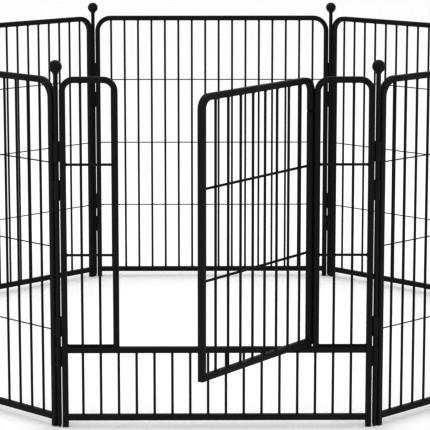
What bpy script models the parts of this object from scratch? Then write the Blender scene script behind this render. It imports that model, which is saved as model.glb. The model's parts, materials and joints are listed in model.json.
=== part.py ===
"""Metal playpen for pets: a ring of eight barred panels joined by lift-out corner pins.

Panel 1, at the front, holds a hinged door above a low threshold. Panels 2 to 8 are alike and
run anticlockwise, seen from above. Each is a bent square tube with two round-sleeved uprights,
a comb of vertical rods on a bottom rail, and three thin wires. A long ball-topped pin runs down
through the four sleeves at each corner. Metres, +Z up, standing on z = 0.
"""
import math

import bmesh
import bpy
from mathutils import Matrix, Vector

# Ring
PANELS = 8
TURN = math.radians(360 / PANELS)
ROD_PITCH = 0.040
RODS = 16
UPRIGHT_X = ROD_PITCH * (RODS + 1) / 2      # middle of a panel to the middle of its upright
PIN_GAP = 0.01375                           # middle of an upright to the pin's axis
PANEL_PITCH = 2 * (UPRIGHT_X + PIN_GAP)     # from pin to pin
APOTHEM = PANEL_PITCH / 2 / math.tan(TURN / 2)

# Stock
TUBE = 0.0130                               # square tube
TUBE_CHAMFER = 0.0015
ROD_RADIUS = 0.00265
WIRE_RADIUS = 0.00125
CLEAR = 0.0003                              # gap left where two pieces touch
WELD_BITE = 0.0010                          # how far one body runs into another it is joined to
BORE_SPARE = 0.0010                         # how far a bore runs past the pin in it

# Heights
TOP_RAIL = 0.781
BOTTOM_RAIL = 0.022
THRESHOLD_RAIL = 0.177
WIRES = {"lower": 0.220, "middle": 0.409, "upper": 0.598}
SIDE_BARS = (0.392, 0.595)

# Bends, measured to the middle of the tube
PANEL_BEND = 0.0385
DOOR_BEND = 0.0255
BEND_STEPS = 5

# Corner pins and their sleeves
PIN_RADIUS = 0.0050
PIN_TIP = 0.008
BALL_RADIUS = 0.0145
BALL_CENTRE = 0.812
BALL_BORE_DEPTH = 0.012
BALL_BORE = PIN_RADIUS + 0.00055
SLEEVE_BORE = 0.0056
SLEEVE_RADIUS = 0.0069
SLEEVE_HEIGHT = 0.045
SLEEVE_WEB = math.radians(55)               # where the sleeve's round side meets its flat web
SLEEVES_LEFT = (0.6245, 0.2304)             # middles of the sleeves on a panel's left upright
SLEEVES_RIGHT = (0.5380, 0.1613)

# Door panel
DOORWAY_X = -0.002                          # middle of the doorway, from the middle of the panel
POST_REACH = 0.2227                         # middle of the doorway to the middle of each post
DOORWAY_HALF = POST_REACH - TUBE / 2
HINGE_SET = 0.0085                          # from the post's face to the door's axis
LATCH_GAP = 0.0030                          # between the other post and the closed door
DOOR_AXIS_X = DOORWAY_X + DOORWAY_HALF - HINGE_SET
DOOR_WIDTH = 2 * DOORWAY_HALF - HINGE_SET - LATCH_GAP - TUBE / 2
DOOR_RODS = 8
DOOR_TOP = 0.783
DOOR_FOOT = 0.1895
SILL_LIFT = 0.0001                          # keeps the sill's underside off the uprights' ends
DOOR_BARS = (0.399, 0.593)
DOOR_OPEN = math.radians(54.6)
BAR_SET_BACK = 0.0020                       # rods and thick bars stand this far either side
HINGE_PIN = 0.0036
HINGE_BORE = 0.0042
HINGE_COLLAR = 0.0060
HINGE_LUG = 0.0080
HINGE_LUG_Z = 0.715
HINGE_LUG_THICK = 0.0044
HINGE_NOTCH = HINGE_LUG_THICK + 0.0008
LOWER_PIN_REACH = 0.025
UPPER_PIN_REACH = 0.011

# The ring's middle stands behind the origin by half of what the open door adds in front
DOOR_REACH = DOOR_WIDTH * math.sin(DOOR_OPEN)
DOOR_CORNER = (TUBE / 2 * math.sin(DOOR_OPEN)
               + (TUBE / 2 - TUBE_CHAMFER) * math.cos(DOOR_OPEN))
RING_Y = (DOOR_REACH + DOOR_CORNER - BALL_RADIUS) / 2


def clear_scene():
    for thing in list(bpy.data.objects):
        bpy.data.objects.remove(thing, do_unlink=True)


def material(name, colour, roughness, metallic):
    finish = bpy.data.materials.new(name)
    finish.use_nodes = True
    shader = finish.node_tree.nodes["Principled BSDF"]
    shader.inputs["Base Color"].default_value = (*colour, 1.0)
    shader.inputs["Roughness"].default_value = roughness
    shader.inputs["Metallic"].default_value = metallic
    return finish


def mesh_from(bm, name):
    bmesh.ops.remove_doubles(bm, verts=bm.verts, dist=1e-7)
    bmesh.ops.recalc_face_normals(bm, faces=bm.faces)
    mesh = bpy.data.meshes.new(name)
    bm.to_mesh(mesh)
    bm.free()
    return mesh


def combined(base, tool, operation):
    """The mesh that a Boolean of two meshes gives. The tool may hold several bodies."""
    body = bpy.data.objects.new("boolean_body", base)
    cutter = bpy.data.objects.new("boolean_tool", tool)
    cutter.hide_render = True
    cutter.display_type = "WIRE"
    for thing in (body, cutter):
        bpy.context.scene.collection.objects.link(thing)
    boolean = body.modifiers.new("boolean", "BOOLEAN")
    boolean.operation = operation
    boolean.solver = "EXACT"
    boolean.object = cutter
    graph = bpy.context.evaluated_depsgraph_get()
    result = bpy.data.meshes.new_from_object(body.evaluated_get(graph))
    for thing in (body, cutter):
        bpy.data.objects.remove(thing, do_unlink=True)
    result.name = base.name + "_made"
    return result


def place(name, mesh, parent, finish, location=(0, 0, 0)):
    if not mesh.materials:
        mesh.materials.append(finish)
    piece = bpy.data.objects.new(name, mesh)
    bpy.context.scene.collection.objects.link(piece)
    piece.parent = parent
    piece.location = location
    return piece


def pivot(name, parent, location, turn=0.0):
    empty = bpy.data.objects.new(name, None)
    empty.empty_display_size = 0.05
    bpy.context.scene.collection.objects.link(empty)
    empty.parent = parent
    empty.location = location
    empty.rotation_euler = (0, 0, turn)
    return empty


def prism(bm, outline, low, high):
    """A straight-sided solid on an (x, y) outline."""
    base = bm.faces.new([bm.verts.new((x, y, low)) for x, y in outline])
    grown = bmesh.ops.extrude_face_region(bm, geom=[base])
    top = [v for v in grown["geom"] if isinstance(v, bmesh.types.BMVert)]
    bmesh.ops.translate(bm, verts=top, vec=(0, 0, high - low))


def bar(bm, start, end, radius, sides):
    """A round bar from start to end."""
    along = Vector(end) - Vector(start)
    middle = (Vector(start) + Vector(end)) / 2
    turn = along.to_track_quat("Z", "Y").to_matrix().to_4x4()
    bmesh.ops.create_cone(bm, cap_ends=True, segments=sides, radius1=radius, radius2=radius,
                          depth=along.length, matrix=Matrix.Translation(middle) @ turn)


def tube_section():
    half = TUBE / 2
    flat = half - TUBE_CHAMFER
    return [(half, -flat), (half, flat), (flat, half), (-flat, half),
            (-half, flat), (-half, -flat), (-flat, -half), (flat, -half)]


def bent_tube(bm, start, moves):
    """Square tube bent in the XZ plane, as a tube bender makes it.

    It starts upwards from (x, z). A move is a straight run's length, or a pair of the bend's
    radius and angle, where a positive angle bends it towards +X.
    """
    x, z = start
    heading = math.pi / 2
    stations = [(x, z, heading)]
    for move in moves:
        if isinstance(move, tuple):
            radius, angle = move
            side = math.copysign(1, angle)
            centre_x = x + side * radius * math.sin(heading)
            centre_z = z - side * radius * math.cos(heading)
            begin = heading
            for step in range(1, BEND_STEPS + 1):
                heading = begin - angle * step / BEND_STEPS
                x = centre_x - side * radius * math.sin(heading)
                z = centre_z + side * radius * math.cos(heading)
                stations.append((x, z, heading))
        else:
            x += math.cos(heading) * move
            z += math.sin(heading) * move
            stations.append((x, z, heading))
    rings = []
    for x, z, heading in stations:
        ring = []
        for u, v in tube_section():
            ring.append(bm.verts.new((x + u * math.sin(heading), v, z - u * math.cos(heading))))
        rings.append(ring)
    bm.faces.new(rings[0])
    bm.faces.new(rings[-1])
    for near, far in zip(rings, rings[1:]):
        for i in range(len(near)):
            bm.faces.new((near[i], near[i - 1], far[i - 1], far[i]))


def rail(bm, left, right, height):
    """A straight level tube between two x positions."""
    end = bm.faces.new([bm.verts.new((left, v, height + u)) for u, v in tube_section()])
    grown = bmesh.ops.extrude_face_region(bm, geom=[end])
    tip = [v for v in grown["geom"] if isinstance(v, bmesh.types.BMVert)]
    bmesh.ops.translate(bm, verts=tip, vec=(right - left, 0, 0))


def sleeved(tube_mesh, pins):
    """Weld sleeves to a tube. Each pin is (x of its axis, side of its upright, heights)."""
    blanks = bmesh.new()
    bores = bmesh.new()
    arc_steps = 6
    for axis_x, side, heights in pins:
        outline = []
        for step in range(arc_steps + 1):
            angle = SLEEVE_WEB + (2 * math.pi - 2 * SLEEVE_WEB) * step / arc_steps
            outline.append((axis_x + side * SLEEVE_RADIUS * math.cos(angle),
                            SLEEVE_RADIUS * math.sin(angle)))
        web = SLEEVE_RADIUS * math.sin(SLEEVE_WEB)
        web_end = axis_x + side * (PIN_GAP - TUBE / 2 + WELD_BITE)
        outline += [(web_end, -web), (web_end, web)]
        for middle in heights:
            prism(blanks, outline, middle - SLEEVE_HEIGHT / 2, middle + SLEEVE_HEIGHT / 2)
        reach = SLEEVE_HEIGHT
        bar(bores, (axis_x, 0, min(heights) - reach), (axis_x, 0, max(heights) + reach),
            SLEEVE_BORE, 12)
    welded = combined(tube_mesh, mesh_from(blanks, "sleeve_blanks"), "UNION")
    return combined(welded, mesh_from(bores, "sleeve_bores"), "DIFFERENCE")


def rod_positions(count, pitch):
    return [(i - (count - 1) / 2) * pitch for i in range(count)]


def panel_arch():
    """One tube bent to an inverted U, with two sleeves on each upright."""
    bm = bmesh.new()
    rise = TOP_RAIL - PANEL_BEND
    quarter = (PANEL_BEND, math.pi / 2)
    bent_tube(bm, (-UPRIGHT_X, 0), [rise, quarter, 2 * (UPRIGHT_X - PANEL_BEND), quarter, rise])
    pin_x = UPRIGHT_X + PIN_GAP
    return sleeved(mesh_from(bm, "panel_arch"),
                   [(-pin_x, 1, SLEEVES_LEFT), (pin_x, -1, SLEEVES_RIGHT)])


def panel_grille():
    """The bottom rail with the rods standing in it."""
    rails = bmesh.new()
    end = UPRIGHT_X - TUBE / 2 - CLEAR
    rail(rails, -end, end, BOTTOM_RAIL)
    rods = bmesh.new()
    top = TOP_RAIL - TUBE / 2 - CLEAR
    for x in rod_positions(RODS, ROD_PITCH):
        bar(rods, (x, 0, BOTTOM_RAIL), (x, 0, top), ROD_RADIUS, 6)
    return combined(mesh_from(rails, "panel_grille"), mesh_from(rods, "rods"), "UNION")


def panel_wire():
    bm = bmesh.new()
    end = UPRIGHT_X - TUBE / 2 - CLEAR
    behind = ROD_RADIUS + CLEAR + WIRE_RADIUS
    bar(bm, (-end, behind, 0), (end, behind, 0), WIRE_RADIUS, 6)
    return mesh_from(bm, "panel_wire")


def post_x(side):
    """Where the post beside the door stands, on the left (-1) or the right (1)."""
    return DOORWAY_X + side * POST_REACH


def side_arch(side):
    """The narrow arch beside the door: an outer upright, a top and a post on the threshold."""
    bm = bmesh.new()
    rise = DOOR_TOP - DOOR_BEND
    across = UPRIGHT_X - side * post_x(side) - 2 * DOOR_BEND
    post = rise - (THRESHOLD_RAIL + TUBE / 2 + CLEAR)
    quarter = (DOOR_BEND, -side * math.pi / 2)
    bent_tube(bm, (side * UPRIGHT_X, 0), [rise, quarter, across, quarter, post])
    heights = SLEEVES_RIGHT if side > 0 else SLEEVES_LEFT
    pins = [(side * (UPRIGHT_X + PIN_GAP), -side, heights)]
    return sleeved(mesh_from(bm, "side_arch"), pins)


def side_grille(side):
    """Two rods with three bars welded behind them, the lowest lying on the threshold."""
    rods = bmesh.new()
    bars = bmesh.new()
    floor = THRESHOLD_RAIL + TUBE / 2 + CLEAR
    top = DOOR_TOP - TUBE / 2 - CLEAR
    for index in (RODS - 1, RODS - 2):
        x = side * rod_positions(RODS, ROD_PITCH)[index]
        bar(rods, (x, -BAR_SET_BACK, floor), (x, -BAR_SET_BACK, top), ROD_RADIUS, 8)
    outer = side * (UPRIGHT_X - TUBE / 2 - CLEAR)
    inner = post_x(side) + side * (TUBE / 2 + CLEAR)
    for height in (floor + ROD_RADIUS, *SIDE_BARS):
        bar(bars, (inner, BAR_SET_BACK, height), (outer, BAR_SET_BACK, height), ROD_RADIUS, 8)
    return combined(mesh_from(rods, "side_grille"), mesh_from(bars, "bars"), "UNION")


def threshold_frame():
    """The low part under the door: two rails with the short rods between them."""
    end = UPRIGHT_X - TUBE / 2 - CLEAR
    rails = bmesh.new()
    rail(rails, -end, end, BOTTOM_RAIL)
    rail(rails, -end, end, THRESHOLD_RAIL)
    rods = bmesh.new()
    for x in rod_positions(RODS, ROD_PITCH):
        bar(rods, (x, 0, BOTTOM_RAIL), (x, 0, THRESHOLD_RAIL), ROD_RADIUS, 6)
    return combined(mesh_from(rails, "threshold_frame"), mesh_from(rods, "rods"), "UNION")


def door_frame():
    """The door's tube with its bottom rail, notched and bored for the hinge pins at x = 0."""
    bm = bmesh.new()
    rise = DOOR_TOP - DOOR_BEND - DOOR_FOOT
    quarter = (DOOR_BEND, -math.pi / 2)
    bent_tube(bm, (0, DOOR_FOOT), [rise, quarter, DOOR_WIDTH - 2 * DOOR_BEND, quarter, rise])
    sill = bmesh.new()
    inset = TUBE / 2 - WELD_BITE
    rail(sill, -DOOR_WIDTH + inset, -inset, DOOR_FOOT + TUBE / 2 + SILL_LIFT)
    frame = combined(mesh_from(bm, "door_frame"), mesh_from(sill, "sill"), "UNION")
    cut = bmesh.new()
    half = TUBE
    notch = HINGE_NOTCH / 2
    square = [(-half, -half), (half, -half), (half, half), (-half, half)]
    prism(cut, square, HINGE_LUG_Z - notch, HINGE_LUG_Z + notch)
    frame = combined(frame, mesh_from(cut, "notch"), "DIFFERENCE")
    bores = bmesh.new()
    bar(bores, (0, 0, DOOR_FOOT - BORE_SPARE),
        (0, 0, DOOR_FOOT + LOWER_PIN_REACH + BORE_SPARE), HINGE_BORE, 10)
    reach = HINGE_NOTCH / 2 + UPPER_PIN_REACH + BORE_SPARE
    bar(bores, (0, 0, HINGE_LUG_Z - reach), (0, 0, HINGE_LUG_Z + reach), HINGE_BORE, 10)
    return combined(frame, mesh_from(bores, "hinge_bores"), "DIFFERENCE")


def door_grille():
    """The door's rods with two bars welded behind them."""
    rods = bmesh.new()
    bars = bmesh.new()
    low = DOOR_FOOT + TUBE + SILL_LIFT + CLEAR
    top = DOOR_TOP - TUBE / 2 - CLEAR
    pitch = DOOR_WIDTH / (DOOR_RODS + 1)
    for index in range(DOOR_RODS):
        x = -pitch * (index + 1)
        bar(rods, (x, -BAR_SET_BACK, low), (x, -BAR_SET_BACK, top), ROD_RADIUS, 8)
    end = TUBE / 2 + CLEAR
    for height in DOOR_BARS:
        bar(bars, (-DOOR_WIDTH + end, BAR_SET_BACK, height), (-end, BAR_SET_BACK, height),
            ROD_RADIUS, 8)
    return combined(mesh_from(rods, "door_grille"), mesh_from(bars, "bars"), "UNION")


def lower_hinge():
    """A pin on a round collar that stands on the threshold and carries the door."""
    collar = bmesh.new()
    low = THRESHOLD_RAIL + TUBE / 2 + CLEAR
    bar(collar, (0, 0, low), (0, 0, DOOR_FOOT - CLEAR), HINGE_COLLAR, 12)
    pin = bmesh.new()
    bar(pin, (0, 0, low + WELD_BITE), (0, 0, DOOR_FOOT + LOWER_PIN_REACH), HINGE_PIN, 10)
    return combined(mesh_from(collar, "lower_hinge"), mesh_from(pin, "pin"), "UNION")


def upper_hinge():
    """A lug on the post that holds a pin in the notch of the door's hinge side."""
    lug = bmesh.new()
    reach = HINGE_SET - CLEAR
    arc_steps = 8
    outline = []
    for step in range(arc_steps + 1):
        angle = math.pi / 2 + math.pi * step / arc_steps
        outline.append((HINGE_LUG * math.cos(angle), HINGE_LUG * math.sin(angle)))
    outline += [(reach, -HINGE_LUG), (reach, HINGE_LUG)]
    prism(lug, outline, HINGE_LUG_Z - HINGE_LUG_THICK / 2, HINGE_LUG_Z + HINGE_LUG_THICK / 2)
    pin = bmesh.new()
    half = HINGE_LUG_THICK / 2 + UPPER_PIN_REACH
    bar(pin, (0, 0, HINGE_LUG_Z - half), (0, 0, HINGE_LUG_Z + half), HINGE_PIN, 10)
    return combined(mesh_from(lug, "upper_hinge"), mesh_from(pin, "pin"), "UNION")


def turned(name, profile, steps):
    """Spin an open (radius, z) profile, whose ends lie on the axis, to a closed solid."""
    bm = bmesh.new()
    points = [bm.verts.new((radius, 0, z)) for radius, z in profile]
    edges = [bm.edges.new(pair) for pair in zip(points, points[1:])]
    bmesh.ops.spin(bm, geom=points + edges, cent=(0, 0, 0), axis=(0, 0, 1),
                   angle=2 * math.pi, steps=steps, use_merge=True)
    return mesh_from(bm, name)


def pin_rod():
    """A straight rod with a tapered lower tip, standing on the floor."""
    top = BALL_CENTRE - BALL_RADIUS + BALL_BORE_DEPTH - CLEAR
    return turned("pin_rod", [(0, top), (PIN_RADIUS, top), (PIN_RADIUS, PIN_TIP),
                              (PIN_RADIUS / 2, 0), (0, 0)], 8)


def pin_ball():
    """A ball drilled from below for the rod."""
    start = math.asin(BALL_BORE / BALL_RADIUS)
    low = BALL_CENTRE - BALL_RADIUS * math.cos(start)
    bore_top = BALL_CENTRE - BALL_RADIUS + BALL_BORE_DEPTH
    profile = [(0, bore_top), (BALL_BORE, bore_top), (BALL_BORE, low)]
    angles = [start + (math.pi / 2 - start) * step / 2 for step in (1, 2)]
    angles += [math.pi / 2 * (1 + step / 3) for step in (1, 2)]
    for angle in angles:
        profile.append((BALL_RADIUS * math.sin(angle), BALL_CENTRE - BALL_RADIUS * math.cos(angle)))
    profile.append((0, BALL_CENTRE + BALL_RADIUS))
    return turned("pin_ball", profile, 16)


def build_door_panel(ring, coat, hinge_steel):
    """Panel 1 and the door in it. The panel is the body that all the others hang from."""
    panel = pivot("door_panel_frame", ring, (0, -APOTHEM, 0))
    place("left_side_arch", side_arch(-1), panel, coat)
    place("right_side_arch", side_arch(1), panel, coat)
    place("left_side_grille", side_grille(-1), panel, coat)
    place("right_side_grille", side_grille(1), panel, coat)
    place("threshold_frame", threshold_frame(), panel, coat)
    hinge_line = (DOOR_AXIS_X, 0, 0)
    place("hinge_lower_pin", lower_hinge(), panel, hinge_steel, hinge_line)
    place("hinge_upper_pin", upper_hinge(), panel, hinge_steel, hinge_line)
    door = pivot("door_hinge_line", panel, hinge_line, DOOR_OPEN)
    place("door_frame", door_frame(), door, coat)
    place("door_grille", door_grille(), door, coat)
    return panel


def build_plain_panel(number, corner, side, shapes, coat):
    """A plain panel, on the pivot at its own corner. It reaches to the side given."""
    middle = side * PANEL_PITCH / 2
    place(f"panel_{number}_arch", shapes["arch"], corner, coat, (middle, 0, 0))
    place(f"panel_{number}_grille", shapes["grille"], corner, coat, (middle, 0, 0))
    for level, height in WIRES.items():
        place(f"panel_{number}_wire_{level}", shapes["wire"], corner, coat, (middle, 0, height))


def build_corner_pin(name, parent, location, shapes, coat, ball_finish):
    line = pivot(f"{name}_line", parent, location)
    place(f"{name}_rod", shapes["rod"], line, coat)
    place(f"{name}_ball", shapes["ball"], line, ball_finish)


clear_scene()
powder_coat = material("black_powder_coat", (0.018, 0.018, 0.020), 0.45, 0.0)
ball_coat = material("black_ball_coat", (0.020, 0.020, 0.021), 0.35, 0.0)
black_steel = material("blackened_steel", (0.030, 0.030, 0.032), 0.40, 1.0)
panel_shapes = {"arch": panel_arch(), "grille": panel_grille(), "wire": panel_wire()}
pin_shapes = {"rod": pin_rod(), "ball": pin_ball()}

ring_middle = pivot("ring_middle", None, (0, RING_Y, 0))
door_panel = build_door_panel(ring_middle, powder_coat, black_steel)
right_end = (PANEL_PITCH / 2, 0, 0)
left_end = (-PANEL_PITCH / 2, 0, 0)
build_corner_pin("pin_1_2", door_panel, right_end, pin_shapes, powder_coat, ball_coat)
build_corner_pin("pin_8_1", door_panel, left_end, pin_shapes, powder_coat, ball_coat)

# Panels 2, 3 and 4 follow one another on the right
corner_parent, corner_place = door_panel, right_end
for panel_number in (2, 3, 4):
    line_name = f"panel_{panel_number}_corner"
    corner_parent = pivot(line_name, corner_parent, corner_place, TURN)
    corner_place = (PANEL_PITCH, 0, 0)
    build_plain_panel(panel_number, corner_parent, 1, panel_shapes, powder_coat)
    next_pin = f"pin_{panel_number}_{panel_number + 1}"
    build_corner_pin(next_pin, corner_parent, corner_place, pin_shapes, powder_coat, ball_coat)

# Panels 8, 7, 6 and 5 follow one another on the left, and panel 5 meets panel 4 again
corner_parent, corner_place = door_panel, left_end
for panel_number in (8, 7, 6, 5):
    line_name = f"panel_{panel_number}_corner"
    corner_parent = pivot(line_name, corner_parent, corner_place, -TURN)
    corner_place = (-PANEL_PITCH, 0, 0)
    build_plain_panel(panel_number, corner_parent, -1, panel_shapes, powder_coat)
    if panel_number > 5:
        next_pin = f"pin_{panel_number - 1}_{panel_number}"
        build_corner_pin(next_pin, corner_parent, corner_place, pin_shapes, powder_coat, ball_coat)

for data in bpy.data.meshes:
    data.shade_smooth()
    data.set_sharp_from_angle(angle=math.radians(35))
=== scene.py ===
"""Metal playpen for pets: eight barred panels in a ring, with a door standing open in the front one.

Each section makes one piece, or one group of like pieces, in the order in which the pen is put
together: plain panels, the door panel, the door, its hinges, and last the pins at the corners.
"""
import json
import math

import bmesh
import bpy
from mathutils import Matrix, Vector


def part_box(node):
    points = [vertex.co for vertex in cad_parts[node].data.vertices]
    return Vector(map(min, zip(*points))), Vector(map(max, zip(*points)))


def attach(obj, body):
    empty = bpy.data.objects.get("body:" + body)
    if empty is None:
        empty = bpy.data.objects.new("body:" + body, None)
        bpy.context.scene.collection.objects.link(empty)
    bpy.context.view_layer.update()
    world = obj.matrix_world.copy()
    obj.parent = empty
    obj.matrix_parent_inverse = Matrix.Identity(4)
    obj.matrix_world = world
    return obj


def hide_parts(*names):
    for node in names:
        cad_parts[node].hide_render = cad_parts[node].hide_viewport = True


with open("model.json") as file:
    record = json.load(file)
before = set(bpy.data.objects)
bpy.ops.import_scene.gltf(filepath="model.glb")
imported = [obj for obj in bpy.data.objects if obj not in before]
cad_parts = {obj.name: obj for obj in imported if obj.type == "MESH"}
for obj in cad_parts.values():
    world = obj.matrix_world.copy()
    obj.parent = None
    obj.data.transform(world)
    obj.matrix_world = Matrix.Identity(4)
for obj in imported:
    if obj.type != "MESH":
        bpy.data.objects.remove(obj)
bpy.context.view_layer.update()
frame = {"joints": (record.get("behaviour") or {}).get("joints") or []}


# The studio: a wide pale floor with no edge in view, under a soft white dome.
# One broad lamp hangs over the pen, and a second fills its front from the left.
def box_middle(node):
    low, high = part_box(node)
    return (low + high) / 2


ring_middle = (box_middle("threshold_frame") + box_middle("panel_5_grille")) / 2
ring_middle.z = 0

camera_place = Vector((-0.0421, -5.5302, 1.2929))
camera_tip_down = math.radians(9.832)
camera_turn = math.radians(-0.46)
camera_data = bpy.data.cameras.new("view")
camera_data.lens = 179.6
camera_data.sensor_width = 36
camera_data.clip_end = 100
camera = bpy.data.objects.new("view", camera_data)
camera.location = ring_middle + camera_place
camera.rotation_euler = (math.pi / 2 - camera_tip_down, 0, camera_turn)
bpy.context.scene.collection.objects.link(camera)
bpy.context.scene.camera = camera
bpy.context.scene.view_settings.view_transform = "Standard"
bpy.context.scene.view_settings.gamma = 0.62

floor_mesh = bpy.data.meshes.new("floor")
floor_bm = bmesh.new()
bmesh.ops.create_grid(floor_bm, x_segments=1, y_segments=1, size=40)
floor_bm.to_mesh(floor_mesh)
floor_bm.free()
floor = bpy.data.objects.new("floor", floor_mesh)
bpy.context.scene.collection.objects.link(floor)

floor_paint = bpy.data.materials.new("pale_floor")
floor_paint.use_nodes = True
floor_shader = floor_paint.node_tree.nodes["Principled BSDF"]
floor_shader.inputs["Base Color"].default_value = (0.78, 0.78, 0.78, 1)
floor_shader.inputs["Emission Color"].default_value = (1, 1, 1, 1)
floor_shader.inputs["Emission Strength"].default_value = 0.20
floor_shader.inputs["Roughness"].default_value = 0.9
floor_shader.inputs["Specular IOR Level"].default_value = 0.1
floor_mesh.materials.append(floor_paint)

dome = bpy.data.worlds.new("soft_white_dome")
dome.use_nodes = True
dome.node_tree.nodes["Background"].inputs["Color"].default_value = (1, 1, 1, 1)
dome.node_tree.nodes["Background"].inputs["Strength"].default_value = 1.0
bpy.context.scene.world = dome


def studio_lamp(name, place, aim, size, watts):
    lamp_data = bpy.data.lights.new(name, "AREA")
    lamp_data.shape = "DISK"
    lamp_data.size = size
    lamp_data.energy = watts
    lamp = bpy.data.objects.new(name, lamp_data)
    lamp.location = place
    lamp.rotation_euler = (Vector(aim) - Vector(place)).to_track_quat("-Z", "Y").to_euler()
    bpy.context.scene.collection.objects.link(lamp)


studio_lamp("overhead_lamp", (0.4, 0.0, 4.5), (0, 0, 0), 4.0, 40)
studio_lamp("front_lamp", (-3.2, -4.2, 2.8), (0, -0.4, 0.4), 2.0, 30)


# Plain panel tube: 13 mm square steel tube, bent cold to an upside-down U, so its two
# uprights and its top are one length. Four short round sleeves for the corner pins are welded
# to it, two to an upright, and the whole panel is then powder coated black.
rail_low, rail_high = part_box("threshold_frame")
tube_size = rail_high.y - rail_low.y
tube_corner = 0.0012
tube_wall = 0.0007
foot_hollow = 0.030
panel_bend = 0.0385
bend_steps = 12
pin_to_upright = 0.01375
sleeve_bore = 0.0056
sleeve_outside = 0.0069
sleeve_height = 0.045
sleeve_heights_left = (0.6245, 0.2304)
sleeve_heights_right = (0.5380, 0.1613)
sleeve_rim = 0.0004
web_thickness = 0.0086
web_bite = 0.0005
web_short = 0.0015
weld_size = 0.0012
seam_depth = 0.93


def new_edges(grown):
    return [part for part in grown if isinstance(part, bmesh.types.BMEdge)]


def new_verts(grown):
    return [part for part in grown if isinstance(part, bmesh.types.BMVert)]


def tube_outline(bm, place):
    """The edges of a square with rounded corners, in the XY plane of place."""
    corners = bmesh.ops.create_grid(bm, x_segments=1, y_segments=1, size=tube_size / 2,
                                    matrix=place)["verts"]
    rounded = bmesh.ops.bevel(bm, geom=corners, offset=tube_corner, segments=3, profile=0.5,
                              affect="VERTICES", material=-1)
    face = rounded["verts"][0].link_faces[0]
    outline = list(face.edges)
    bmesh.ops.delete(bm, geom=[face], context="FACES_ONLY")
    return outline


def run_straight(bm, outline, run):
    grown = bmesh.ops.extrude_edge_only(bm, edges=outline)["geom"]
    tips = new_verts(grown)
    bmesh.ops.translate(bm, verts=tips, vec=run)
    return [edge for edge in new_edges(grown) if set(edge.verts) <= set(tips)]


def run_bend(bm, outline, centre):
    swept = bmesh.ops.spin(bm, geom=outline, cent=centre, axis=(0, 1, 0), angle=math.pi / 2,
                           steps=bend_steps, use_duplicate=False)
    return new_edges(swept["geom_last"])


def saw_cut(bm, outline, inwards):
    """Close a tube's end as a saw leaves it, showing its wall and a little of its hollow."""
    end = bmesh.ops.holes_fill(bm, edges=outline, sides=0)["faces"]
    bmesh.ops.recalc_face_normals(bm, faces=bm.faces)
    bmesh.ops.inset_individual(bm, faces=end, thickness=tube_wall, use_even_offset=True)
    bottom = bmesh.ops.extrude_discrete_faces(bm, faces=end)["faces"]
    bmesh.ops.translate(bm, verts=bottom[0].verts, vec=inwards)


def arch_tube(bm, left, right, top, radius, hollow_ends):
    """Tube bent to an upside-down U. left and right are the (x, z) of its two ends."""
    first = tube_outline(bm, Matrix.Translation((left[0], 0, left[1])))
    last = run_straight(bm, first, (0, 0, top - radius - left[1]))
    last = run_bend(bm, last, (left[0] + radius, 0, top - radius))
    last = run_straight(bm, last, (right[0] - left[0] - 2 * radius, 0, 0))
    last = run_bend(bm, last, (right[0] - radius, 0, top - radius))
    last = run_straight(bm, last, (0, 0, right[1] - top + radius))
    for outline, hollow in zip((first, last), hollow_ends):
        if hollow:
            saw_cut(bm, outline, (0, 0, foot_hollow))
        else:
            bmesh.ops.holes_fill(bm, edges=outline, sides=0)


def weld_seam(bm, start, end):
    """A row of overlapping drops, as a welding torch leaves them."""
    along = Vector(end) - Vector(start)
    drops = max(2, round(along.length / weld_size))
    for drop in range(drops):
        middle = Vector(start) + along * (drop + 0.5) / drops
        bmesh.ops.create_icosphere(bm, subdivisions=1, radius=weld_size,
                                   matrix=Matrix.Translation(middle))


def pin_sleeve(bm, axis_x, side, middle):
    """A short round sleeve on a pin's axis, welded to the upright that is on the side given."""
    mean = (sleeve_bore + sleeve_outside) / 2
    wall = (sleeve_outside - sleeve_bore) / tube_size
    upright = Matrix.Rotation(math.pi / 2, 4, "X")
    flat = Matrix.Diagonal((wall, sleeve_height / tube_size, 1, 1))
    section = bmesh.ops.create_grid(bm, x_segments=1, y_segments=1, size=tube_size / 2,
                                    matrix=Matrix.Translation((axis_x + mean, 0, middle))
                                    @ upright @ flat)["verts"]
    rounded = bmesh.ops.bevel(bm, geom=section, offset=sleeve_rim, segments=2, profile=0.5,
                              affect="VERTICES", material=-1)
    face = rounded["verts"][0].link_faces[0]
    edges = list(face.edges)
    bmesh.ops.delete(bm, geom=[face], context="FACES_ONLY")
    bmesh.ops.spin(bm, geom=edges, cent=(axis_x, 0, 0), axis=(0, 0, 1), angle=2 * math.pi,
                   steps=24, use_merge=True)
    web_near = sleeve_outside * 0.9
    web_far = pin_to_upright - tube_size / 2 + web_bite
    web_place = Matrix.Translation((axis_x + side * (web_near + web_far) / 2, 0, middle))
    web_height = sleeve_height - 2 * web_short
    web_shape = Matrix.Diagonal((web_far - web_near, web_thickness, web_height, 1))
    bmesh.ops.create_cube(bm, size=1, matrix=web_place @ web_shape)
    reach = web_height / 2 - web_bite
    seam_y = web_thickness / 2 + weld_size / 4
    for face_y in (-seam_y, seam_y):
        seam_x = axis_x + side * (pin_to_upright - tube_size / 2 - weld_size * 0.4)
        weld_seam(bm, (seam_x, face_y, middle - reach), (seam_x, face_y, middle + reach))


def pin_axis(pin):
    axis = box_middle(pin + "_rod")
    axis.z = 0
    return axis


def panel_place(left_pin, right_pin):
    """Turns a panel drawn about the origin along X to where it stands between two pins."""
    left = pin_axis(left_pin)
    right = pin_axis(right_pin)
    along = right - left
    return Matrix.Translation((left + right) / 2) @ Matrix.Rotation(
        math.atan2(along.y, along.x), 4, "Z")


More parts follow.
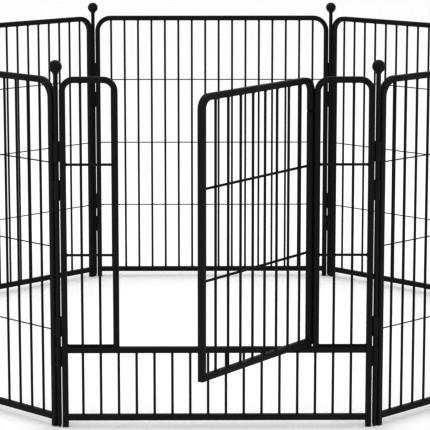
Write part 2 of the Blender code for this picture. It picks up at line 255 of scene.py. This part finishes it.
def finished_mesh(bm, name):
    bmesh.ops.remove_doubles(bm, verts=bm.verts, dist=1e-6)
    bmesh.ops.recalc_face_normals(bm, faces=bm.faces)
    mesh = bpy.data.meshes.new(name)
    bm.to_mesh(mesh)
    bm.free()
    mesh.shade_smooth()
    mesh.set_sharp_from_angle(angle=math.radians(40))
    return mesh


def fit_piece(name, mesh, place, body, nodes, finish):
    """Put a copy of a mesh where it belongs, on its body, in place of its plain CAD solids."""
    placed = mesh.copy()
    placed.name = name
    placed.transform(place)
    placed.materials.append(finish)
    piece = bpy.data.objects.new(name, placed)
    bpy.context.scene.collection.objects.link(piece)
    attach(piece, body)
    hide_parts(*nodes)
    return piece


def powder_coat(name, colour, rough_low, rough_high, peel_size, peel_depth):
    """Baked powder: a fine orange-peel skin, a little uneven in colour and in gloss."""
    finish = bpy.data.materials.new(name)
    finish.use_nodes = True
    nodes = finish.node_tree.nodes
    links = finish.node_tree.links
    shader = nodes["Principled BSDF"]
    shader.inputs["Specular IOR Level"].default_value = 0.25
    where = nodes.new("ShaderNodeTexCoord")
    peel = nodes.new("ShaderNodeTexNoise")
    peel.inputs["Scale"].default_value = 1 / peel_size
    peel.inputs["Detail"].default_value = 2
    skin = nodes.new("ShaderNodeBump")
    skin.inputs["Strength"].default_value = 0.35
    skin.inputs["Distance"].default_value = peel_depth
    drift = nodes.new("ShaderNodeTexNoise")
    drift.inputs["Scale"].default_value = 14
    drift.inputs["Detail"].default_value = 4
    gloss = nodes.new("ShaderNodeMapRange")
    gloss.inputs["From Min"].default_value = 0.35
    gloss.inputs["From Max"].default_value = 0.65
    gloss.inputs["To Min"].default_value = rough_low
    gloss.inputs["To Max"].default_value = rough_high
    specks = nodes.new("ShaderNodeTexNoise")
    specks.inputs["Scale"].default_value = 700
    specks.inputs["Detail"].default_value = 1
    tone = nodes.new("ShaderNodeValToRGB")
    tone.color_ramp.elements[0].position = 0.35
    tone.color_ramp.elements[0].color = (*[c * 0.85 for c in colour], 1)
    tone.color_ramp.elements[1].position = 0.70
    tone.color_ramp.elements[1].color = (*[c * 1.35 for c in colour], 1)
    for pattern in (peel, drift, specks):
        links.new(where.outputs["Object"], pattern.inputs["Vector"])
    links.new(peel.outputs["Fac"], skin.inputs["Height"])
    links.new(skin.outputs["Normal"], shader.inputs["Normal"])
    links.new(drift.outputs["Fac"], gloss.inputs["Value"])
    links.new(gloss.outputs["Result"], shader.inputs["Roughness"])
    links.new(specks.outputs["Fac"], tone.inputs["Fac"])
    links.new(tone.outputs["Color"], shader.inputs["Base Color"])
    return finish


black_tube_coat = powder_coat("black_tube_coat", (0.024, 0.024, 0.025), 0.40, 0.55, 0.0016, 0.0002)

plain_panels = range(2, 9)
panel_width = (pin_axis("pin_1_2") - pin_axis("pin_8_1")).length
upright_x = panel_width / 2 - pin_to_upright
top_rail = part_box("panel_5_arch")[1].z - tube_size / 2

arch_bm = bmesh.new()
arch_tube(arch_bm, (-upright_x, 0), (upright_x, 0), top_rail, panel_bend, (True, True))
for sleeve_middle in sleeve_heights_left:
    pin_sleeve(arch_bm, -panel_width / 2, 1, sleeve_middle)
for sleeve_middle in sleeve_heights_right:
    pin_sleeve(arch_bm, panel_width / 2, -1, sleeve_middle)
arch_mesh = finished_mesh(arch_bm, "panel_tube")


def plain_panel_place(number):
    return panel_place(f"pin_{number - 1}_{number}", f"pin_{number}_{number % 8 + 1}")


for number in plain_panels:
    fit_piece(f"panel_{number}_tube", arch_mesh, plain_panel_place(number), f"panel_{number}",
              [f"panel_{number}_arch"], black_tube_coat)


# Rods and bottom rail of a plain panel: sixteen straight 5.3 mm steel rods, welded at the foot
# to a length of the same square tube and at the top to the underside of the arch.
rod_radius = 0.00265
rod_bite = 0.001
collar_height = 0.0022
rod_count = 16
rod_pitch = upright_x * 2 / (rod_count + 1)
bottom_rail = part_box("panel_5_grille")[0].z + tube_size / 2


def rail_tube(bm, left, right, height):
    """A level length of the square tube. Its ends are welded up, so they are closed."""
    level = Matrix.Translation((left, 0, height)) @ Matrix.Rotation(math.pi / 2, 4, "Y")
    first = tube_outline(bm, level)
    last = run_straight(bm, first, (right - left, 0, 0))
    bmesh.ops.holes_fill(bm, edges=first + last, sides=0)
    reach = tube_size / 2 - tube_corner
    for end in (left, right):
        for face_y in (-tube_size / 2 * seam_depth, tube_size / 2 * seam_depth):
            weld_seam(bm, (end, face_y, height - reach), (end, face_y, height + reach))


def round_bar(bm, start, end, radius, sides=12):
    along = Vector(end) - Vector(start)
    middle = (Vector(start) + Vector(end)) / 2
    turn = along.to_track_quat("Z", "Y").to_matrix().to_4x4()
    bmesh.ops.create_cone(bm, cap_ends=True, segments=sides, radius1=radius, radius2=radius,
                          depth=along.length, matrix=Matrix.Translation(middle) @ turn)


def weld_collar(bm, place, away):
    """The small cone of weld round a rod where it meets a rail. away points along the rod."""
    turn = Vector(away).to_track_quat("Z", "Y").to_matrix().to_4x4()
    middle = Vector(place) + Vector(away) * collar_height / 2
    bmesh.ops.create_cone(bm, cap_ends=True, segments=10, radius1=rod_radius * 1.7,
                          radius2=rod_radius * 0.98, depth=collar_height,
                          matrix=Matrix.Translation(middle) @ turn)


def welded_rod(bm, x, y, low, high):
    round_bar(bm, (x, y, low - rod_bite), (x, y, high + rod_bite), rod_radius)
    weld_collar(bm, (x, y, low), (0, 0, 1))
    weld_collar(bm, (x, y, high), (0, 0, -1))


def rod_places(count, pitch):
    return [(index - (count - 1) / 2) * pitch for index in range(count)]


black_rod_coat = powder_coat("black_rod_coat", (0.023, 0.023, 0.024), 0.42, 0.58, 0.0012, 0.00015)

comb_bm = bmesh.new()
rail_end = upright_x - tube_size / 2
rail_tube(comb_bm, -rail_end, rail_end, bottom_rail)
for rod_x in rod_places(rod_count, rod_pitch):
    welded_rod(comb_bm, rod_x, 0, bottom_rail + tube_size / 2, top_rail - tube_size / 2)
comb_mesh = finished_mesh(comb_bm, "panel_rods")

for number in plain_panels:
    fit_piece(f"panel_{number}_rods", comb_mesh, plain_panel_place(number), f"panel_{number}",
              [f"panel_{number}_grille"], black_rod_coat)


# Cross wires of a plain panel: three thin steel wires on the inner side of the rods, spot
# welded to every rod they cross and to the uprights at their ends.
wire_radius = 0.0012
wire_back = rod_radius + wire_radius
wire_levels = ("lower", "middle", "upper")


def spot_weld(bm, place, radius, shape=(1, 1, 1)):
    """The small bead where two crossing wires or bars are welded together."""
    spot = Matrix.Translation(place) @ Matrix.Diagonal((*shape, 1))
    bmesh.ops.create_icosphere(bm, subdivisions=1, radius=radius, matrix=spot)


wire_bm = bmesh.new()
for level in wire_levels:
    wire_low, wire_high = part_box(f"panel_5_wire_{level}")
    wire_z = (wire_low.z + wire_high.z) / 2
    round_bar(wire_bm, (-rail_end, wire_back, wire_z), (rail_end, wire_back, wire_z), wire_radius, 8)
    for rod_x in rod_places(rod_count, rod_pitch):
        spot_weld(wire_bm, (rod_x, rod_radius, wire_z), 0.0016, (1.3, 0.7, 1))
    for wire_end in (-rail_end, rail_end):
        spot_weld(wire_bm, (wire_end, wire_back, wire_z), 0.0019)
wire_mesh = finished_mesh(wire_bm, "panel_wires")

for number in plain_panels:
    fit_piece(f"panel_{number}_wires", wire_mesh, plain_panel_place(number), f"panel_{number}",
              [f"panel_{number}_wire_{level}" for level in wire_levels], black_rod_coat)


# Side arches of the door panel: the same tube with tighter bends. Each goes up from the floor,
# over the side section, and down again to stand welded on the threshold rail.
door_bend = 0.0255
threshold_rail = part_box("threshold_frame")[1].z - tube_size / 2
threshold_top = threshold_rail + tube_size / 2
side_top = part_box("left_side_arch")[1].z - tube_size / 2
door_panel_place = panel_place("pin_8_1", "pin_1_2")
post_x = {-1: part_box("left_side_arch")[1].x - tube_size / 2,
          1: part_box("right_side_arch")[0].x + tube_size / 2}

for side, side_name in ((-1, "left"), (1, "right")):
    side_bm = bmesh.new()
    ends = sorted([(side * upright_x, 0), (post_x[side], threshold_top)])
    open_ends = [end[1] == 0 for end in ends]
    arch_tube(side_bm, ends[0], ends[1], side_top, door_bend, open_ends)
    for sleeve_middle in (sleeve_heights_right if side > 0 else sleeve_heights_left):
        pin_sleeve(side_bm, side * panel_width / 2, -side, sleeve_middle)
    seam_reach = tube_size / 2 - tube_corner
    for face_y in (-tube_size / 2 * seam_depth, tube_size / 2 * seam_depth):
        weld_seam(side_bm, (post_x[side] - seam_reach, face_y, threshold_top),
                  (post_x[side] + seam_reach, face_y, threshold_top))
    side_mesh = finished_mesh(side_bm, f"{side_name}_side_tube")
    fit_piece(f"{side_name}_side_tube", side_mesh, door_panel_place, "door_panel",
              [f"{side_name}_side_arch"], black_tube_coat)


# Side bars of the door panel: two upright rods, with two level bars welded behind them and a
# third lying on the threshold rail.
side_bar_heights = (0.392, 0.595)
bar_set_back = 0.0023


def level_bar(bm, left, right, height, rod_xs):
    """A bar welded behind the upright rods and, at its ends, to the tubes beside them."""
    round_bar(bm, (left, bar_set_back, height), (right, bar_set_back, height), rod_radius)
    weld_collar(bm, (left, bar_set_back, height), (1, 0, 0))
    weld_collar(bm, (right, bar_set_back, height), (-1, 0, 0))
    for rod_x in rod_xs:
        spot_weld(bm, (rod_x, 0, height), 0.0018, (1.4, 0.8, 1.4))


for side, side_name in ((-1, "left"), (1, "right")):
    bars_bm = bmesh.new()
    side_rods = [side * rod_x for rod_x in rod_places(rod_count, rod_pitch)[-2:]]
    for rod_x in side_rods:
        welded_rod(bars_bm, rod_x, -bar_set_back, threshold_top, side_top - tube_size / 2)
    bar_ends = sorted([post_x[side] + side * tube_size / 2, side * rail_end])
    for bar_z in (threshold_top + rod_radius, *side_bar_heights):
        level_bar(bars_bm, *bar_ends, bar_z, side_rods)
    bars_mesh = finished_mesh(bars_bm, f"{side_name}_side_rods")
    fit_piece(f"{side_name}_side_rods", bars_mesh, door_panel_place, "door_panel",
              [f"{side_name}_side_grille"], black_rod_coat)


# Threshold: the low fixed part under the door. Two square rails between the outer uprights,
# with sixteen short rods welded between them.
threshold_bm = bmesh.new()
rail_tube(threshold_bm, -rail_end, rail_end, bottom_rail)
rail_tube(threshold_bm, -rail_end, rail_end, threshold_rail)
for rod_x in rod_places(rod_count, rod_pitch):
    welded_rod(threshold_bm, rod_x, 0, bottom_rail + tube_size / 2, threshold_rail - tube_size / 2)
threshold_mesh = finished_mesh(threshold_bm, "threshold")
fit_piece("threshold", threshold_mesh, door_panel_place, "door_panel", ["threshold_frame"],
          black_tube_coat)


# Door tube: one tube bent over its two top corners, with a straight bottom rail welded between
# its uprights. Its hinge side is notched for the upper hinge and left open at the foot.
latch_gap = 0.0030
door_low, door_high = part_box("door_frame")
door_foot = door_low.z
door_top = door_high.z - tube_size / 2
door_bottom_rail = door_foot + tube_size / 2
door_hinge = next(joint for joint in frame["joints"] if joint["name"] == "door_hinge")
door_open = -math.radians(door_hinge["range_deg"][0])
hinge_axis = Vector((*door_hinge["pos_m"][:2], 0))
door_width = hinge_axis.x - (post_x[-1] + tube_size + latch_gap)
door_place = Matrix.Translation(hinge_axis) @ Matrix.Rotation(door_open, 4, "Z")
lug_low, lug_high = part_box("hinge_upper_pin")
lug_middle = (lug_low.z + lug_high.z) / 2
lug_thickness = 0.0044
notch_play = 0.0004
notch_half = lug_thickness / 2 + notch_play
notch_hollow = 0.010

door_bm = bmesh.new()
arch_tube(door_bm, (-door_width, door_foot), (0, door_foot), door_top, door_bend, (False, True))
bmesh.ops.recalc_face_normals(door_bm, faces=door_bm.faces)
for cut_z in (lug_middle - notch_half, lug_middle + notch_half):
    sliced = [v for v in door_bm.verts if v.co.x > -tube_size]
    near = [f for f in door_bm.faces if all(v.co.x > -tube_size for v in f.verts)]
    near_edges = list(dict.fromkeys(edge for f in near for edge in f.edges))
    bmesh.ops.bisect_plane(door_bm, geom=sliced + near_edges + near, dist=1e-6,
                           plane_co=(0, 0, cut_z), plane_no=(0, 0, 1))
notch_faces = []
for face in door_bm.faces:
    middle = face.calc_center_median()
    if middle.x > -tube_size and abs(middle.z - lug_middle) < notch_half * 0.9:
        notch_faces.append(face)
bmesh.ops.delete(door_bm, geom=notch_faces, context="FACES")
for rim_z in (lug_middle - notch_half, lug_middle + notch_half):
    rim = [e for e in door_bm.edges if e.is_boundary
           and all(abs(v.co.z - rim_z) < 1e-5 for v in e.verts)]
    saw_cut(door_bm, rim, (0, 0, math.copysign(notch_hollow, rim_z - lug_middle)))
rail_tube(door_bm, -door_width + tube_size / 2, -tube_size / 2, door_bottom_rail)
door_mesh = finished_mesh(door_bm, "door_tube")
fit_piece("door_tube", door_mesh, door_place, "door", ["door_frame"], black_tube_coat)


# Door bars: eight upright rods between the door's top and its bottom rail, with two level bars
# of the same rod welded behind them.
door_rod_count = 8
door_bar_heights = (0.399, 0.593)
door_rod_pitch = door_width / (door_rod_count + 1)
door_rods = [-door_rod_pitch * (index + 1) for index in range(door_rod_count)]

door_bars_bm = bmesh.new()
for rod_x in door_rods:
    welded_rod(door_bars_bm, rod_x, -bar_set_back, door_foot + tube_size, door_top - tube_size / 2)
for bar_z in door_bar_heights:
    level_bar(door_bars_bm, -door_width + tube_size / 2, -tube_size / 2, bar_z, door_rods)
door_bars_mesh = finished_mesh(door_bars_bm, "door_rods")
fit_piece("door_rods", door_bars_mesh, door_place, "door", ["door_grille"], black_rod_coat)


# Hinges: plain turned steel pins, blackened. The lower one stands on a collar on the threshold,
# and the upper one goes through a flat lug welded to the post, inside the door's notch.
hinge_pin_radius = 0.0036
hinge_collar_radius = 0.0060
hinge_play = 0.0003
hinge_root = 0.001
lug_radius = (lug_high.y - lug_low.y) / 2
hinge_post_gap = post_x[1] - tube_size / 2 - hinge_axis.x
hinge_place = Matrix.Translation(hinge_axis)


def turned_pin(bm, low, high, radius):
    """A round pin with a small chamfer turned on each end."""
    made = bmesh.ops.create_cone(bm, cap_ends=True, segments=24, radius1=radius, radius2=radius,
                                 depth=high - low,
                                 matrix=Matrix.Translation((0, 0, (low + high) / 2)))["verts"]
    rims = dict.fromkeys(edge for v in made for edge in v.link_edges
                         if abs(edge.verts[0].co.z - edge.verts[1].co.z) < 1e-6)
    bmesh.ops.bevel(bm, geom=list(rims), offset=radius * 0.15, segments=2, profile=0.5,
                    affect="EDGES", material=-1)


blackened_steel = bpy.data.materials.new("blackened_steel")
blackened_steel.use_nodes = True
steel_nodes = blackened_steel.node_tree.nodes
steel_links = blackened_steel.node_tree.links
steel_shader = steel_nodes["Principled BSDF"]
steel_shader.inputs["Metallic"].default_value = 0.9
steel_where = steel_nodes.new("ShaderNodeTexCoord")
steel_stretch = steel_nodes.new("ShaderNodeMapping")
steel_stretch.inputs["Scale"].default_value = (60, 60, 2500)
turning_marks = steel_nodes.new("ShaderNodeTexNoise")
turning_marks.inputs["Scale"].default_value = 1
steel_tone = steel_nodes.new("ShaderNodeValToRGB")
steel_tone.color_ramp.elements[0].color = (0.010, 0.010, 0.011, 1)
steel_tone.color_ramp.elements[1].color = (0.026, 0.026, 0.025, 1)
steel_gloss = steel_nodes.new("ShaderNodeMapRange")
steel_gloss.inputs["To Min"].default_value = 0.30
steel_gloss.inputs["To Max"].default_value = 0.50
steel_bump = steel_nodes.new("ShaderNodeBump")
steel_bump.inputs["Strength"].default_value = 0.2
steel_bump.inputs["Distance"].default_value = 0.0001
steel_links.new(steel_where.outputs["Object"], steel_stretch.inputs["Vector"])
steel_links.new(steel_stretch.outputs["Vector"], turning_marks.inputs["Vector"])
steel_links.new(turning_marks.outputs["Fac"], steel_tone.inputs["Fac"])
steel_links.new(turning_marks.outputs["Fac"], steel_gloss.inputs["Value"])
steel_links.new(turning_marks.outputs["Fac"], steel_bump.inputs["Height"])
steel_links.new(steel_tone.outputs["Color"], steel_shader.inputs["Base Color"])
steel_links.new(steel_gloss.outputs["Result"], steel_shader.inputs["Roughness"])
steel_links.new(steel_bump.outputs["Normal"], steel_shader.inputs["Normal"])

lower_bm = bmesh.new()
lower_low, lower_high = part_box("hinge_lower_pin")
turned_pin(lower_bm, lower_low.z, door_foot - hinge_play, hinge_collar_radius)
turned_pin(lower_bm, lower_low.z + hinge_root, lower_high.z, hinge_pin_radius)
lower_mesh = finished_mesh(lower_bm, "hinge_lower")
fit_piece("hinge_lower", lower_mesh, hinge_place, "door_panel", ["hinge_lower_pin"],
          blackened_steel)

upper_bm = bmesh.new()
turned_pin(upper_bm, lug_low.z, lug_high.z, hinge_pin_radius)
lug_disc = bmesh.ops.create_circle(upper_bm, cap_ends=True, segments=32, radius=lug_radius,
                                   matrix=Matrix.Translation((0, 0, lug_middle - lug_thickness / 2)))
lug_nose = [v for v in lug_disc["verts"] if v.co.x > 1e-6]
for v in lug_nose:
    v.co.y = math.copysign(lug_radius, v.co.y) if abs(v.co.y) > 1e-6 else 0
    v.co.x = hinge_post_gap
lug_face = lug_disc["verts"][0].link_faces[0]
lug_top = new_verts(bmesh.ops.extrude_face_region(upper_bm, geom=[lug_face])["geom"])
bmesh.ops.translate(upper_bm, verts=lug_top, vec=(0, 0, lug_thickness))
upper_mesh = finished_mesh(upper_bm, "hinge_upper")
fit_piece("hinge_upper", upper_mesh, hinge_place, "door_panel", ["hinge_upper_pin"],
          blackened_steel)


# Corner pins: long round steel rods that drop through the four sleeves of a corner and stand on
# the ground. The lower end is tapered to find its way in, and a ball on top is the grip.
pin_tip = 0.008
pins = ("pin_1_2", "pin_2_3", "pin_3_4", "pin_4_5", "pin_5_6", "pin_6_7", "pin_7_8", "pin_8_1")
rod_low, rod_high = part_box("pin_1_2_rod")
ball_low, ball_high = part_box("pin_1_2_ball")
pin_radius = (rod_high.x - rod_low.x) / 2
ball_radius = (ball_high.x - ball_low.x) / 2
rod_top = rod_high.z
ball_centre = ball_high.z - ball_radius

black_pin_coat = powder_coat("black_pin_coat", (0.024, 0.024, 0.025), 0.36, 0.50, 0.0014, 0.0002)
black_ball_coat = powder_coat("black_ball_coat", (0.023, 0.023, 0.024), 0.30, 0.42, 0.0020, 0.0002)


def lathe(bm, profile, steps):
    """Spin a line of (radius, z) points, which starts and ends on the axis, to a solid."""
    points = [bm.verts.new((radius, 0, z)) for radius, z in profile]
    edges = [bm.edges.new(pair) for pair in zip(points, points[1:])]
    bmesh.ops.spin(bm, geom=points + edges, cent=(0, 0, 0), axis=(0, 0, 1), angle=2 * math.pi,
                   steps=steps, use_merge=True)


pin_bm = bmesh.new()
lathe(pin_bm, [(0, 0), (pin_radius * 0.45, 0), (pin_radius * 0.6, 0.0008), (pin_radius, pin_tip),
               (pin_radius, rod_top), (0, rod_top)], 24)
pin_mesh = finished_mesh(pin_bm, "pin")

ball_bm = bmesh.new()
bmesh.ops.create_uvsphere(ball_bm, u_segments=40, v_segments=24, radius=ball_radius,
                          matrix=Matrix.Translation((0, 0, ball_centre)))
neck_top_radius = 0.0067
neck_radius = 0.0065
neck_end_radius = 0.0061
neck_rim = 0.0005
neck_low = ball_centre - ball_radius - 0.0015
neck_top = neck_low + 0.006
lathe(ball_bm, [(0, neck_top), (neck_top_radius, neck_top), (neck_radius, neck_low + neck_rim),
                (neck_end_radius, neck_low), (0, neck_low)], 24)
ball_mesh = finished_mesh(ball_bm, "pin_ball")

for pin in pins:
    stands = Matrix.Translation(pin_axis(pin))
    fit_piece(pin + "_shaft", pin_mesh, stands, pin, [pin + "_rod"], black_pin_coat)
    fit_piece(pin + "_grip", ball_mesh, stands, pin, [pin + "_ball"], black_ball_coat)
